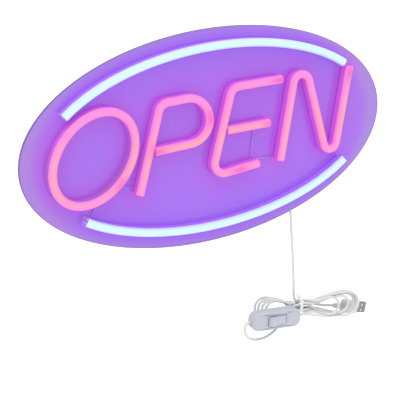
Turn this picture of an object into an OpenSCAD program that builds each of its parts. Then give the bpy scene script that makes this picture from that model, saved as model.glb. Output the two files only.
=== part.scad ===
// Oval "OPEN" sign: LED neon tubes on a clear plate, with a USB lead and an inline switch.
// The sign hangs upright: +X to the reader's right, +Z up, front towards -Y.
// The origin is the centre of the plate's back face, which lies against the wall.

/* [Plate] */
// Width of the oval plate
plate_w = 400; // [380:5:440]
// Height of the oval plate
plate_h = 217; // [214:1:240]
// Thickness of the plate
plate_t = 4; // [3:0.5:6]

/* [Tubes] */
// Width of a tube
tube_w = 8.4; // [7.5:0.1:9]
// Height of a tube above the plate
tube_h = 13.3; // [10:0.1:16]
// Width of the slot under a tube that holds its LED strip
slot_w = 5.6; // [5.2:0.1:6]
// Height of that slot
slot_h = 3; // [2.4:0.1:4]
// Thickness of an end cap
cap_t = 1.2; // [0.8:0.1:1.5]

/* [LED strip] */
// Width of the flexible circuit
strip_w = 5; // [4:0.1:5.1]
// Thickness of the flexible circuit
strip_t = 0.4; // [0.2:0.1:0.5]
// Distance between LEDs along the strip
led_pitch = 16; // [12:1:20]

/* [Lettering] */
// Slant of the P and the E from upright, in degrees
slant_pe = 20.5; // [18:0.5:22]
// Slant of the N from upright, in degrees
slant_n = 16; // [15:0.5:17]
// Radius of the square corners of the P and the E
corner_r = 11; // [8:1:12]
// Long half-axis of the O
o_long = 48.5; // [44:0.5:49]
// Short half-axis of the O
o_short = 35.8; // [32:0.5:36]
// Slope of the O's long axis, in degrees
o_turn = 46; // [40:1:50]

/* [Lead] */
// Diameter of the lead
cord_d = 3; // [2.8:0.1:3.2]
// Thickness of the tied hank
hank_t = 12; // [10:0.5:12]

/* [Inline switch] */
// Length of the switch case
case_l = 58; // [56:1:60]
// Width of the switch case
case_w = 20; // [20:0.5:22]
// Thickness of the switch case, without its rocker
case_t = 14; // [14:0.5:15]
// How far the rocker swings, from on to off, in degrees
rocker_swing = 24; // [16:1:24]

/* [Plug] */
// Length of the moulded grip
grip_l = 20; // [18:1:24]
// Width of the moulded grip
grip_w = 15.8; // [14:0.2:16]
// Thickness of the moulded grip
grip_t = 8.2; // [7.6:0.1:8.2]

/* [Hidden] */
$fn = 48;

// ---- Lines in the plate's plane: points are [x, z] ----

// Everything drawn on the plate grows with its width
k = plate_w / 400;

function unit(v) = v / norm(v);
function turned(v) = [-v[1], v[0]];
function flat(p) = [p[0], p[1]] * k;
function reversed(v) = [for (i = [len(v) - 1 : -1 : 0]) v[i]];

// A stretch of an ellipse, from angle a to angle b in n steps
function ellipse_arc(half_w, half_h, a, b, n) =
    [for (i = [0 : n]) let (t = a + (b - a) * i / n) [half_w * cos(t), half_h * sin(t)]];

// The round corner at b, between the lines to a and to c, of radius r
function corner(a, b, c, r) =
    let (
        to_a = unit(a - b),
        to_c = unit(c - b),
        half = acos(to_a * to_c) / 2,
        centre = b + unit(to_a + to_c) * r / sin(half),
        start = b + to_a * r / tan(half) - centre,
        first = atan2(start[1], start[0]),
        hand = to_a[0] * to_c[1] - to_a[1] * to_c[0] > 0 ? -1 : 1,
        sweep = 180 - 2 * half,
        steps = ceil(sweep / 12)
    )
    [for (i = [0 : steps]) let (t = first + hand * sweep * i / steps) centre + r * [cos(t), sin(t)]];

// A line through corners [x, z, radius], where radius 0 leaves a sharp point
function rounded(v) = [
    for (i = [0 : len(v) - 1])
        each (v[i][2] == 0 ? [flat(v[i])] : corner(flat(v[i - 1]), flat(v[i]), flat(v[i + 1]), v[i][2] * k))
];

// Where a leaning stem that crosses z = 0 at x0 is at height z
function stem(x0, slant, z) = x0 + z * tan(slant);

plate_edge = ellipse_arc(plate_w / 2, plate_h / 2, 0, 357.5, 143);

// The arcs follow the plate's edge
top_inset = 16.5 * k;
bottom_inset = 19.7 * k;
top_arc = ellipse_arc(plate_w / 2 - top_inset, plate_h / 2 - top_inset, 33.6, 146.4, 48);
bottom_arc = ellipse_arc(plate_w / 2 - bottom_inset, plate_h / 2 - bottom_inset, -143.6, -36.4, 46);

// The O starts and ends at its seam, low on the right
o_centre = [-129.2, 6.3] * k;
o_seam = -78;
o_path = [
    for (p = ellipse_arc(o_long * k, o_short * k, o_seam, o_seam + 359, 72))
        o_centre + [p[0] * cos(o_turn) - p[1] * sin(o_turn), p[0] * sin(o_turn) + p[1] * cos(o_turn)]
];

// The P: up the stem, along the top, round the bowl and back to the stem
p_foot = -38.2;
p_top = 46;
p_bar = 0.4;
p_bowl_r = (p_top - p_bar) / 2 - 0.3;
p_stem_x = -74.2;
p_right = -7;
p_path = rounded([
    [stem(p_stem_x, slant_pe, p_foot), p_foot, 0],
    [stem(p_stem_x, slant_pe, p_top), p_top, corner_r],
    [p_right, p_top, p_bowl_r],
    [p_right, p_bar, p_bowl_r],
    [p_stem_x + 6.7, p_bar, 0]
]);

// The E: along the top, down the stem and along the bottom, with its middle bar apart
e_stem_x = 2.8;
e_top = 48;
e_bottom = -38.2;
e_path = rounded([
    [76.6, 46.5, 0],
    [stem(e_stem_x, slant_pe, e_top), e_top, corner_r],
    [stem(e_stem_x, slant_pe, e_bottom), e_bottom, corner_r],
    [42, -35.2, 0]
]);
e_bar_path = [flat([11.3, 5.8]), flat([58.4, 4.4])];

// The N: up the left stem, down the slanted stroke and up the right stem
n_left_x = 79.3;
n_right_x = 146.4;
n_path = rounded([
    [stem(n_left_x, slant_n, -37.2), -37.2, 0],
    [102.4, 80.3, 9.5],
    [127.7, -64.9, 7.7],
    [stem(n_right_x, slant_n, 45), 45, 0]
]);

// Direction of travel at point i of a line
function heading(p, i) =
    i == 0 ? unit(p[1] - p[0])
    : i == len(p) - 1 ? unit(p[i] - p[i - 1])
    : unit(unit(p[i + 1] - p[i]) + unit(p[i] - p[i - 1]));

// The line, moved sideways by d
function beside(p, d) = [for (i = [0 : len(p) - 1]) p[i] + d * turned(heading(p, i))];

// The line, longer by d at both ends
function longer(p, d) =
    concat([p[0] - d * heading(p, 0)], p, [p[len(p) - 1] + d * heading(p, len(p) - 1)]);

// Distance along the line to each of its points
function distances(p) = [
    for (i = 0, s = 0; i < len(p); s = s + (i + 1 < len(p) ? norm(p[i + 1] - p[i]) : 0), i = i + 1) s
];

// A strip of even width along a line
module band(p, w) {
    polygon(concat(beside(p, w / 2), reversed(beside(p, -w / 2))));
}

// Stands a flat outline up, from a distance in front of the plate's back to h further forward
module raised(from, h) {
    translate([0, -from, 0])
        rotate([90, 0, 0])
            linear_extrude(height = h)
                children();
}

// Puts a copy of the children at every pitch along a line, turned to follow it
module along(p, pitch, offset = 0) {
    s = distances(p);
    total = s[len(s) - 1];
    count = floor(total / pitch);
    start = (total - (count - 1) * pitch) / 2 + offset;
    for (n = [0 : count - 1]) {
        at = start + n * pitch;
        hits = [for (i = [0 : len(p) - 2]) if (s[i] <= at && at < s[i + 1]) i];
        if (len(hits) > 0) {
            i = hits[0];
            way = unit(p[i + 1] - p[i]);
            place = p[i] + way * (at - s[i]);
            translate([place[0], 0, place[1]])
                rotate([0, -atan2(way[1], way[0]), 0])
                    children();
        }
    }
}

// ---- Sign ----

acrylic = [0.68, 0.46, 0.93];
white_glow = [0.86, 1, 0.98];
pink_glow = [1, 0.62, 0.78];
wire_d = 1.6;
wire_y = -plate_t - 1;
rear_y = 1;
lead_x = 85;
lead_z = -78.2;
rear_holes = [[-18.6, 3.8], [8.8, 16]];
rear_hole_d = 2.4;
lead_hole_d = 3.2;
chip = [3.5, 1.4, 2.8];
resistor = [2, 0.5, 1.3];

module back_plate() {
    color(acrylic)
        difference() {
            raised(0, plate_t) polygon(plate_edge);
            for (p = rear_holes)
                translate([p[0] * k, 1, p[1] * k]) rotate([90, 0, 0]) cylinder(h = plate_t + 2, d = rear_hole_d);
            translate([lead_x * k, 1, lead_z * k]) rotate([90, 0, 0]) cylinder(h = plate_t + 2, d = lead_hole_d);
        }
}

module tube(p) {
    difference() {
        raised(plate_t, tube_h) band(p, tube_w);
        raised(plate_t - 1, slot_h + 1) band(longer(p, 0.2), slot_w);
    }
}

module top_arc_tube() { color(white_glow) tube(top_arc); }
module bottom_arc_tube() { color(white_glow) tube(bottom_arc); }
module letter_o_tube() { color(pink_glow) tube(o_path); }
module letter_p_tube() { color(pink_glow) tube(p_path); }
module letter_e_tube() { color(pink_glow) tube(e_path); }
module letter_e_bar_tube() { color(pink_glow) tube(e_bar_path); }
module letter_n_tube() { color(pink_glow) tube(n_path); }

module led_strip(p) {
    color([0.95, 0.93, 0.86]) raised(plate_t, strip_t) band(p, strip_w);
}

module top_arc_strip() { led_strip(top_arc); }
module bottom_arc_strip() { led_strip(bottom_arc); }
module letter_o_strip() { led_strip(o_path); }
module letter_p_strip() { led_strip(p_path); }
module letter_e_strip() { led_strip(e_path); }
module letter_e_bar_strip() { led_strip(e_bar_path); }
module letter_n_strip() { led_strip(n_path); }

// Chips and resistors sit on the strip: size is along, up from the strip and across
module on_strip(size) {
    translate([-size[0] / 2, -plate_t - strip_t - size[1], -size[2] / 2]) cube(size);
}

module white_led_chips() {
    color("white")
        for (p = [top_arc, bottom_arc]) along(p, led_pitch) on_strip(chip);
}

module pink_led_chips() {
    color([1, 0.7, 0.75])
        for (p = [o_path, p_path, e_path, e_bar_path, n_path]) along(p, led_pitch) on_strip(chip);
}

module strip_resistors() {
    color([0.15, 0.15, 0.15])
        for (p = [top_arc, bottom_arc, o_path, p_path, e_path, e_bar_path, n_path])
            along(p, led_pitch, 5) on_strip(resistor);
}

// Caps over both ends of a line, or over one of them
module end_caps(p, ends) {
    last = len(p) - 1;
    for (i = ends) {
        out = heading(p, i) * (i == 0 ? -1 : 1);
        raised(plate_t, tube_h) band([p[i], p[i] + out * cap_t], tube_w);
    }
}

module arc_end_caps() {
    color([0.9, 0.95, 1]) {
        end_caps(top_arc, [0, len(top_arc) - 1]);
        end_caps(bottom_arc, [0, len(bottom_arc) - 1]);
    }
}

module letter_end_caps() {
    color([1, 0.55, 0.85]) {
        end_caps(p_path, [0]);
        end_caps(e_path, [0, len(e_path) - 1]);
        end_caps(e_bar_path, [1]);
        end_caps(n_path, [0, len(n_path) - 1]);
    }
}

// A round rod from a to b
module rod(a, b, d) {
    v = b - a;
    translate(a)
        rotate([0, acos(v[2] / norm(v)), atan2(v[1], v[0])])
            cylinder(h = norm(v), d = d);
}

// A round wire through a list of points
module wire(points, d) {
    for (i = [0 : len(points) - 2]) rod(points[i], points[i + 1], d);
    for (i = [1 : len(points) - 2]) translate(points[i]) sphere(d = 1.04 * d);
}

// A clear jumper that lies on the front of the plate, through points [x, z]
module jumper(points) {
    color([0.75, 0.6, 0.95]) wire([for (p = points) [p[0] * k, wire_y, p[1] * k]], wire_d);
}

module jumper_arc_o() { jumper([[-130, -38.2], [-133.6, -46], [-138.6, -52.4]]); }
module jumper_o_p() { jumper([[-104.5, -24.8], [-97, -31], [-90.2, -33.4]]); }
module jumper_e_bar() { jumper([[45, 1.6], [43.6, -6], [38, -32.2]]); }
module jumper_e_n() { jumper([[42.6, -32.6], [65.6, -35.2]]); }
module jumper_n_arc() { jumper([[155.8, 45], [152.4, 48.2]]); }

// This one runs behind the plate and comes through it at both ends
module jumper_p_e() {
    a = rear_holes[0] * k;
    b = rear_holes[1] * k;
    front = -plate_t - strip_t;
    color([0.75, 0.6, 0.95])
        wire([[a[0], front, a[1]], [a[0], rear_y, a[1]], [b[0], rear_y, b[1]], [b[0], front, b[1]]], wire_d);
}

// ---- Lead ----

clip_size = [10, 6, 8.4];
cord_white = [0.93, 0.93, 0.92];

// The lead's two cores go through the plate to the bottom arc's strip
module feed_wires() {
    color([0.85, 0.4, 0.3])
        for (side = [-0.8, 0.8])
            rod([lead_x * k + side, clip_size[1] / 2, lead_z * k], [lead_x * k + side, -plate_t - strip_t, lead_z * k], 1);
}

module lead_clip() {
    top = lead_z * k + clip_size[2] / 2;
    color([0.85, 0.85, 0.9])
        difference() {
            translate([lead_x * k, 0, top - clip_size[2]])
                linear_extrude(height = clip_size[2])
                    union() {
                        translate([-clip_size[0] / 2, 0]) square([clip_size[0], clip_size[1] - 2]);
                        translate([2 - clip_size[0] / 2, 0]) square([clip_size[0] - 4, clip_size[1]]);
                        for (side = [-1, 1]) translate([side * (clip_size[0] / 2 - 2), clip_size[1] - 2]) circle(r = 2);
                    }
            translate([lead_x * k, clip_size[1] / 2, top - clip_size[2] - 1]) cylinder(h = clip_size[2] - 1, d = cord_d + 0.1);
            translate([lead_x * k, clip_size[1] / 2, lead_z * k]) rotate([90, 0, 0]) cylinder(h = clip_size[1], d = lead_hole_d);
        }
}

// A point between route points b and c, at t from 0 to 1, on a smooth curve through a, b, c and d
function blend(a, b, c, d, t) =
    0.5 * (2 * b + (c - a) * t + (2 * a - 5 * b + 4 * c - d) * t * t + (3 * b - 3 * c + d - a) * t * t * t);

// The route with n smooth steps between its points
function smooth(p, n) = concat(
    [for (i = [0 : len(p) - 2], j = [0 : n - 1])
        blend(p[max(i - 1, 0)], p[i], p[i + 1], p[min(i + 2, len(p) - 1)], j / n)],
    [p[len(p) - 1]]
);

// A tube of diameter d along points in space, where up is never the way of travel
module sweep(p, d, sides, up) {
    last = len(p) - 1;
    rings = [
        for (i = [0 : last])
            let (
                way = unit(p[min(i + 1, last)] - p[max(i - 1, 0)]),
                right = unit(cross(way, up)),
                over = cross(right, way)
            )
            for (j = [0 : sides - 1]) p[i] + d / 2 * (right * cos(360 * j / sides) + over * sin(360 * j / sides))
    ];
    walls = [
        for (i = [0 : last - 1], j = [0 : sides - 1])
            let (a = i * sides + j, b = i * sides + (j + 1) % sides)
            each [[a, b, b + sides], [a, b + sides, a + sides]]
    ];
    start = [[for (j = [sides - 1 : -1 : 0]) j]];
    end = [[for (j = [0 : sides - 1]) last * sides + j]];
    polyhedron(points = rings, faces = concat(walls, start, end), convexity = 4);
}

module cord(route, steps) {
    color(cord_white) sweep(smooth(route, steps), cord_d, 8, [0, 1, 0]);
}

// Routes of the free lead, by hand, in the order the current takes from the sign to the plug
lead_route = [
    [85, 3, -76.4], [85, 3, -90], [84.6, 2.6, -110], [83, 1, -134], [80.6, -2, -160],
    [77.6, -4.6, -184], [76, -6, -196], [78, -6.2, -203], [84, -6.2, -207.4]
];
switch_route = [
    [118, -13, -228], [109, -14.5, -227], [100, -17, -223], [91, -20, -217.5], [83, -22.6, -212.5],
    [76, -23.5, -209.9], [67, -23.5, -208.4]
];
loop_route = [
    [15.4, -23.5, -200.3], [11.4, -23.5, -199.9], [8.2, -23.4, -202.2], [6.8, -22.8, -206.6], [7.2, -21.6, -212.2],
    [9.6, -20, -217.8], [14, -18.6, -222.4], [20.8, -17.2, -225.8], [29.6, -16, -227], [38.6, -15, -225.8],
    [46.6, -14, -222.6], [54.6, -13.6, -217.4], [63.4, -12.8, -212.6], [72.6, -11, -208.8], [80.6, -8.6, -207.4]
];
plug_route = [
    [98, -2.4, -211.4], [105, -0.2, -215.2], [111.6, 1.2, -218.4], [118, 1.5, -221], [124, 1.5, -223],
    [130, 1.5, -225]
];

module lead_cord() { cord(lead_route, 3); }
module switch_cord() { cord(switch_route, 2); }
module loop_cord() { cord(loop_route, 2); }
module plug_cord() { cord(plug_route, 1); }

// The hank is a bow: two lobes of loops, tied at the waist
tie_at = [82, -6, -207];
hank_tilt = 14;
hank_lean = -4;
lobe_right = [77, 18];
lobe_left = [56, 14];
waist = 5;

module at_hank() {
    translate(tie_at) rotate([0, hank_tilt, 0]) rotate([0, 0, hank_lean]) children();
}

function bow_edge(t) =
    let (lobe = cos(t) > 0 ? lobe_right : lobe_left, rise = max(waist, lobe[1] * abs(sin(2 * t))))
    [lobe[0] * cos(t), sin(t) > 0 ? rise : -rise];

module cord_hank() {
    color(cord_white)
        at_hank()
            translate([0, hank_t / 2, 0])
                rotate([90, 0, 0])
                    linear_extrude(height = hank_t)
                        polygon([for (t = [2.5 : 5 : 357.5]) bow_edge(t)]);
}

// A twist tie: a ring round the waist, with its twisted ends standing up
module cord_tie() {
    color([0.97, 0.97, 0.97])
        at_hank() {
            for (side = [-1.2, 1.2])
                translate([side, 0, 0])
                    rotate([0, 90, 0])
                        rotate_extrude() translate([hank_t / 2 + 1.2, 0]) circle(d = 1.6, $fn = 24);
            wire([[-1, -3, 6.4], [-3, -6, 11], [-7, -7, 16]], 1.2);
        }
}

// ---- Inline switch: x along the case, y across it, z from its back to its front ----

switch_at = [41.2, -16, -204.4];
switch_tilt = 8.9;
wall = 1.6;
split = 7.5;
case_r = 8;
pivot_z = 10.2;
rocker_w = 10;
rocker_r = 10.6;
window = [21.8, 10.6];
screw_x = 20.5;
screw_y = 5.2;
seesaw_z = 4.2;
seesaw_tilt = 6;
case_white = [0.9, 0.92, 0.97];
brass = [0.85, 0.68, 0.3];

module in_switch() {
    translate(switch_at) rotate([0, switch_tilt, 0]) rotate([90, 0, 0]) children();
}

// A rectangle of size l by w about the origin, with round corners
module rounded_rect(l, w, r) {
    square([l - 2 * r, w], center = true);
    square([l, w - 2 * r], center = true);
    for (x = [-1, 1], y = [-1, 1]) translate([x * (l / 2 - r), y * (w / 2 - r)]) circle(r = r);
}

module case_block(from, to, inset) {
    translate([0, 0, from])
        linear_extrude(height = to - from)
            rounded_rect(case_l - 2 * inset, case_w - 2 * inset, case_r - inset);
}

// The lead passes through both end walls on the line where the two halves meet
module cord_ways() {
    translate([-case_l / 2 - 1, 0, split]) rotate([0, 90, 0]) cylinder(h = case_l + 2, d = cord_d + 0.1);
}

module switch_base() {
    color(case_white)
        in_switch()
            difference() {
                union() {
                    difference() {
                        case_block(0, split - 0.05, 0);
                        case_block(wall, split + 1, wall);
                    }
                    for (x = [-screw_x, screw_x]) translate([x, screw_y, 0]) cylinder(h = split - 0.05, d = 5.2);
                }
                cord_ways();
                for (x = [-screw_x, screw_x]) translate([x, screw_y, -1]) {
                    cylinder(h = split + 2, d = 2.2);
                    cylinder(h = 3, d = 4);
                }
            }
}

module switch_cover() {
    color(case_white)
        in_switch()
            difference() {
                union() {
                    difference() {
                        case_block(split, case_t, 0);
                        case_block(split - 1, case_t - wall, wall);
                    }
                    for (x = [-screw_x, screw_x])
                        translate([x, screw_y, split]) cylinder(h = case_t - wall - split + 0.5, d = 5.2);
                    for (side = [-1, 1])
                        translate([-2.6, side * 6.3 - 0.9, split + 0.7]) cube([5.2, 1.8, case_t - wall - split]);
                }
                cord_ways();
                translate([-window[0] / 2, -window[1] / 2, split]) cube([window[0], window[1], case_t]);
                translate([0, 8, pivot_z]) rotate([90, 0, 0]) cylinder(h = 16, d = 2.5);
                for (x = [-screw_x, screw_x]) translate([x, screw_y, split - 1]) cylinder(h = 5.4, d = 1.7);
            }
}

// The rocker's own pieces are drawn upright, then tipped to on about the trunnions
module tipped(pivot, angle) {
    translate([0, 0, pivot]) rotate([0, angle, 0]) translate([0, 0, -pivot]) children();
}

module switch_rocker() {
    color([0.95, 0.96, 1])
        in_switch()
            tipped(pivot_z, rocker_swing / 2)
                difference() {
                    union() {
                        intersection() {
                            translate([0, rocker_w / 2, pivot_z])
                                rotate([90, 0, 0]) cylinder(h = rocker_w, r = rocker_r, $fn = 96);
                            translate([0, rocker_w / 2, pivot_z])
                                rotate([90, 0, 0])
                                    linear_extrude(height = rocker_w)
                                        polygon([[-12, -0.8], [12, -0.8], [12, 6.4], [0, 4.4], [-12, 6.4]]);
                        }
                        translate([0, 6.6, pivot_z]) rotate([90, 0, 0]) cylinder(h = 13.2, d = 2.4);
                        translate([0, 0, 7.4]) cylinder(h = 3, d = 4.8);
                    }
                    translate([0, 0, 6]) cylinder(h = 6.6, d = 3);
                }
}

module rocker_plunger() {
    color([0.98, 0.98, 0.92])
        in_switch()
            tipped(pivot_z, rocker_swing / 2) {
                translate([0, 0, 5.8]) sphere(r = 1.2);
                translate([0, 0, 5.8]) cylinder(h = 2.8, r = 1.2);
            }
}

spring_turns = 5;
module rocker_spring() {
    color([0.7, 0.7, 0.72])
        in_switch()
            tipped(pivot_z, rocker_swing / 2)
                sweep(
                    [for (i = [0 : 8 * spring_turns]) [1.1 * cos(45 * i), 1.1 * sin(45 * i), 8.85 + 3.5 * i / (8 * spring_turns)]],
                    0.36, 6, [0, 0, 1]
                );
}

module contact_seesaw() {
    color(brass)
        in_switch()
            tipped(seesaw_z, -seesaw_tilt)
                translate([-7, -2, seesaw_z - 0.25]) cube([14, 4, 0.5]);
}

module centre_terminal() {
    color(brass)
        in_switch() {
            translate([-1.5, -2, wall]) cube([3, 4, 1.4]);
            translate([-0.6, -2, wall + 1]) cube([1.2, 4, 1.2]);
            translate([-1.5, 1.8, wall]) cube([10, 2.4, 0.6]);
        }
}

module end_terminal() {
    color(brass)
        in_switch() {
            translate([-14, -1.5, wall]) cube([9.5, 3, 0.8]);
            translate([-6, 0, wall]) cylinder(h = 1.5, d = 2);
        }
}

// One core runs straight through, and the other is cut and goes to the two terminals
module through_wire() {
    end = case_l / 2 - 3;
    color([0.85, 0.25, 0.2])
        in_switch() wire([[-end, -0.8, split], [-20, -6.4, 3], [20, -6.4, 3], [end, -0.8, split]], 1.2);
}

module terminal_wires() {
    end = case_l / 2 - 3;
    color([0.15, 0.15, 0.17])
        in_switch() {
            wire([[-end, 0.8, split], [-18.5, 1.4, 3.6], [-13, 0, 3.1]], 1.2);
            wire([[end, 0.8, split], [18.5, 1.4, 3.6], [8, 3, 2.9]], 1.2);
        }
}

module case_screws() {
    color([0.75, 0.75, 0.77])
        in_switch()
            for (x = [-screw_x, screw_x])
                translate([x, screw_y, 0])
                    difference() {
                        union() {
                            translate([0, 0, 0.5]) cylinder(h = 1.4, d = 3.7);
                            translate([0, 0, 1.8]) cylinder(h = 9.4, d = 1.64);
                        }
                        translate([-0.3, -1.2, 0]) cube([0.6, 2.4, 1.1]);
                        translate([-1.2, -0.3, 0]) cube([2.4, 0.6, 1.1]);
                    }
}

// ---- Plug: x along it towards its mouth, y across it, z from its back to its front ----

plug_at = [130, 1.5, -225];
plug_tilt = 18.5;
relief_l = 11;
shell = [12, 4.5, 0.3];
shell_out = 12;
shell_in = 6;
mouth_x = relief_l + grip_l + shell_out;

module in_plug() {
    translate(plug_at) rotate([0, plug_tilt, 0]) rotate([90, 0, 0]) children();
}

// A block along x with round long edges
module grip(from, l, w, t, r) {
    translate([from, 0, 0]) rotate([90, 0, 90]) linear_extrude(height = l) rounded_rect(w, t, r);
}

module plug_overmould() {
    color(cord_white)
        in_plug()
            difference() {
                union() {
                    rotate([0, 90, 0]) cylinder(h = relief_l + 1, d1 = 4.6, d2 = 5.4);
                    for (i = [0 : 4]) translate([0.6 + 2.1 * i, 0, 0]) rotate([0, 90, 0]) cylinder(h = 1.2, d = 6 + 0.3 * i);
                    grip(relief_l, grip_l, grip_w, grip_t, 2.6);
                }
                grip(mouth_x - shell_out - shell_in, shell_in + 1, shell[0] + 0.05, shell[1] + 0.05, 0.45);
            }
}

module plug_shell() {
    start = mouth_x - shell_out - shell_in;
    color([0.5, 0.5, 0.47])
        in_plug()
            difference() {
                grip(start, shell_out + shell_in, shell[0], shell[1], 0.4);
                grip(start - 1, shell_out + shell_in + 2, shell[0] - 2 * shell[2], shell[1] - 2 * shell[2], 0.1);
                for (y = [-3.1, 3.1]) translate([mouth_x - 6.4, y - 1.1, -4]) cube([2, 2.2, 8]);
            }
}

module plug_tongue() {
    start = mouth_x - shell_out - shell_in + 0.2;
    color([0.95, 0.95, 0.95])
        in_plug()
            union() {
                translate([start, -5.5, -1.9]) cube([7, 11, 3.8]);
                translate([start, -5.5, 0]) cube([shell_out + shell_in - 1.2, 11, 1.8]);
            }
}

module plug_contacts() {
    start = mouth_x - shell_out + 1.6;
    color([0.9, 0.75, 0.35])
        in_plug()
            for (y = [-3.5, -1, 1, 3.5]) translate([start, y - 0.5, -0.2]) cube([8.2, 1, 0.2]);
}

back_plate();
top_arc_tube();
bottom_arc_tube();
letter_o_tube();
letter_p_tube();
letter_e_tube();
letter_e_bar_tube();
letter_n_tube();
top_arc_strip();
bottom_arc_strip();
letter_o_strip();
letter_p_strip();
letter_e_strip();
letter_e_bar_strip();
letter_n_strip();
white_led_chips();
pink_led_chips();
strip_resistors();
arc_end_caps();
letter_end_caps();
jumper_arc_o();
jumper_o_p();
jumper_p_e();
jumper_e_bar();
jumper_e_n();
jumper_n_arc();
feed_wires();
lead_clip();
lead_cord();
cord_hank();
cord_tie();
switch_cord();
loop_cord();
plug_cord();
switch_base();
switch_cover();
switch_rocker();
rocker_plunger();
rocker_spring();
contact_seesaw();
centre_terminal();
end_terminal();
through_wire();
terminal_wires();
case_screws();
plug_overmould();
plug_shell();
plug_tongue();
plug_contacts();
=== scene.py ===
# %% [markdown]
# # An oval neon sign, from the plate to the plug
#
# The sign is a clear oval plate that carries two white tubes and five pink ones.
# Each tube is a silicone profile over a strip of LEDs, and the pink ones spell a word.
# A thin white lead hangs from a clip behind the plate. Most of it is tied into a hank,
# and an inline switch and a USB plug sit on the rest.
#
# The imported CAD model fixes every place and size. This script only makes the looks:
# a smooth surface for each piece that shows, and a finish for every piece.

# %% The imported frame
import math

import bmesh
import bpy
import numpy as np
from mathutils import Matrix, Vector


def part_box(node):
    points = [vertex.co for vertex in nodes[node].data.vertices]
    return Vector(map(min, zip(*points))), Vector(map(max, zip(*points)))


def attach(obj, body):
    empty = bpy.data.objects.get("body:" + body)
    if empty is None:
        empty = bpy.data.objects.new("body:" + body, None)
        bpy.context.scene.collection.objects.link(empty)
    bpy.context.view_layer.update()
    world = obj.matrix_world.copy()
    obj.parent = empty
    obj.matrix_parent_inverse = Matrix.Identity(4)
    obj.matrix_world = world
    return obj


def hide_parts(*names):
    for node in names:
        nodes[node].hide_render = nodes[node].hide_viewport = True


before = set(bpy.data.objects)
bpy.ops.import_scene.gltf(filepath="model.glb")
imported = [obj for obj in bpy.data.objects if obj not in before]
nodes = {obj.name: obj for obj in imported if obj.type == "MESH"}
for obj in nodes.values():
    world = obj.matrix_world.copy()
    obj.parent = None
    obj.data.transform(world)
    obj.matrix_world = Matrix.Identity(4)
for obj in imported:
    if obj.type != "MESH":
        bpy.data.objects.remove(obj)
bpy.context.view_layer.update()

MM = 0.001

# %% [markdown]
# ## Camera
#
# The camera stands to the left of the sign and a little above it, with a long lens, and it is
# rolled slightly. A camera can be aimed with a Track To constraint, but a roll
# then needs a second step. Here the three axes of the camera are worked out from the
# three angles and written into its matrix.

# %% Camera at the viewing angle
AZIMUTH = math.radians(-25.12)
ELEVATION = math.radians(15.11)
ROLL = math.radians(-5.55)
DISTANCE = 972.6 * MM
PLATE_FRONT = Vector((0, -4 * MM, 0))


def camera_axes(azimuth, elevation, roll):
    """Right, up and back of a camera on a sphere round the sign.

    back is the direction from the sign to the camera; right is level and across it;
    up is back x right. The roll then turns right and up about back.
    """
    flat = math.cos(elevation)
    back = Vector((math.sin(azimuth) * flat, -math.cos(azimuth) * flat, math.sin(elevation)))
    right = Vector((math.cos(azimuth), math.sin(azimuth), 0))
    up = back.cross(right)
    c, s = math.cos(roll), math.sin(roll)
    return c * right + s * up, c * up - s * right, back


right, up, back = camera_axes(AZIMUTH, ELEVATION, ROLL)
lens = bpy.data.cameras.new("camera")
lens.lens = 87.5
lens.sensor_width = 36
lens.shift_x = -0.034
lens.shift_y = -0.159
lens.clip_end = 50
camera = bpy.data.objects.new("camera", lens)
facing = Matrix((right, up, back)).transposed().to_4x4()
camera.matrix_world = Matrix.Translation(PLATE_FRONT + back * DISTANCE) @ facing
bpy.context.scene.collection.objects.link(camera)
bpy.context.scene.camera = camera
bpy.context.scene.view_settings.view_transform = "Standard"
print("camera at", [round(v, 3) for v in camera.location])

# %% [markdown]
# ## The lead
#
# The lead is a soft twin-core USB cable, 3 mm thick and 1.5 m long. It drops from the clip,
# turns into a hank of figure-eight turns held by a twist tie, leaves the hank to go through
# the switch, makes one small loop under it, and runs back through the tie to the plug.
# Inside the switch it keeps to one side, clear of the rocker.
#
# A cable could be hung by a cloth or rope simulation, but a hank keeps the shape that
# somebody's hands gave it. So the free stretches follow listed points, the turns
# come from a formula, and a short relaxation then pushes strands apart where they touch.

# %% Points of the free stretches, in millimetres
CORD_D = 3 * MM
LEAD_ROUTE = [
    (85, 3, -82.4), (85, 3, -90), (84.6, 2.6, -110), (83, 1, -134), (80.6, -2, -160),
    (77.6, -4.6, -184), (76, -6, -196), (78, -6.2, -203),
]
SWITCH_ROUTE = [
    (128, -12.2, -230.6), (118, -13.2, -228.6), (109, -15, -225.4), (100, -17.6, -221.2),
    (91, -20.4, -216.4), (83, -22.7, -212.4), (76, -23.5, -209.9), (71, -23.5, -208.9),
]
IN_SWITCH = [
    (65, -23.2, -207.5), (61.4, -22, -204.5), (57.8, -20.8, -201.5), (53.1, -20.2, -199.8),
    (42, -20.2, -198.1), (31.3, -20.2, -196.4), (26.2, -20.8, -196.6), (21.9, -22, -198.3),
    (17.6, -23.2, -200.1),
]
LOOP_ROUTE = [
    (12.5, -23.5, -199.9), (8.5, -23.4, -200.6), (6.3, -23.2, -202.7),
    (5.4, -22.9, -206.4), (6.2, -21.8, -211.6), (8.8, -20.4, -217.2), (13.6, -18.8, -222.2),
    (20.6, -17.2, -225.6), (29.6, -16, -227), (38.6, -15, -225.8), (46.6, -14, -222.6),
    (54.6, -13.6, -218), (63.4, -12.8, -213.8), (72.6, -11, -210.6), (80.6, -8.6, -209),
]
PLUG_ROUTE = [
    (98, -2.4, -211.4), (105, -0.2, -215.2), (111.6, 1.2, -218.4), (118, 1.5, -221),
    (124, 1.5, -223), (130, 1.5, -225),
]
TIE_AT = np.array((82, -6, -208)) * MM
HANK_TILT = math.radians(11.5)
HANK_LEAN = math.radians(-4)
hank_u = np.array((
    math.cos(HANK_LEAN) * math.cos(HANK_TILT),
    math.sin(HANK_LEAN),
    -math.cos(HANK_LEAN) * math.sin(HANK_TILT),
))
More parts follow.
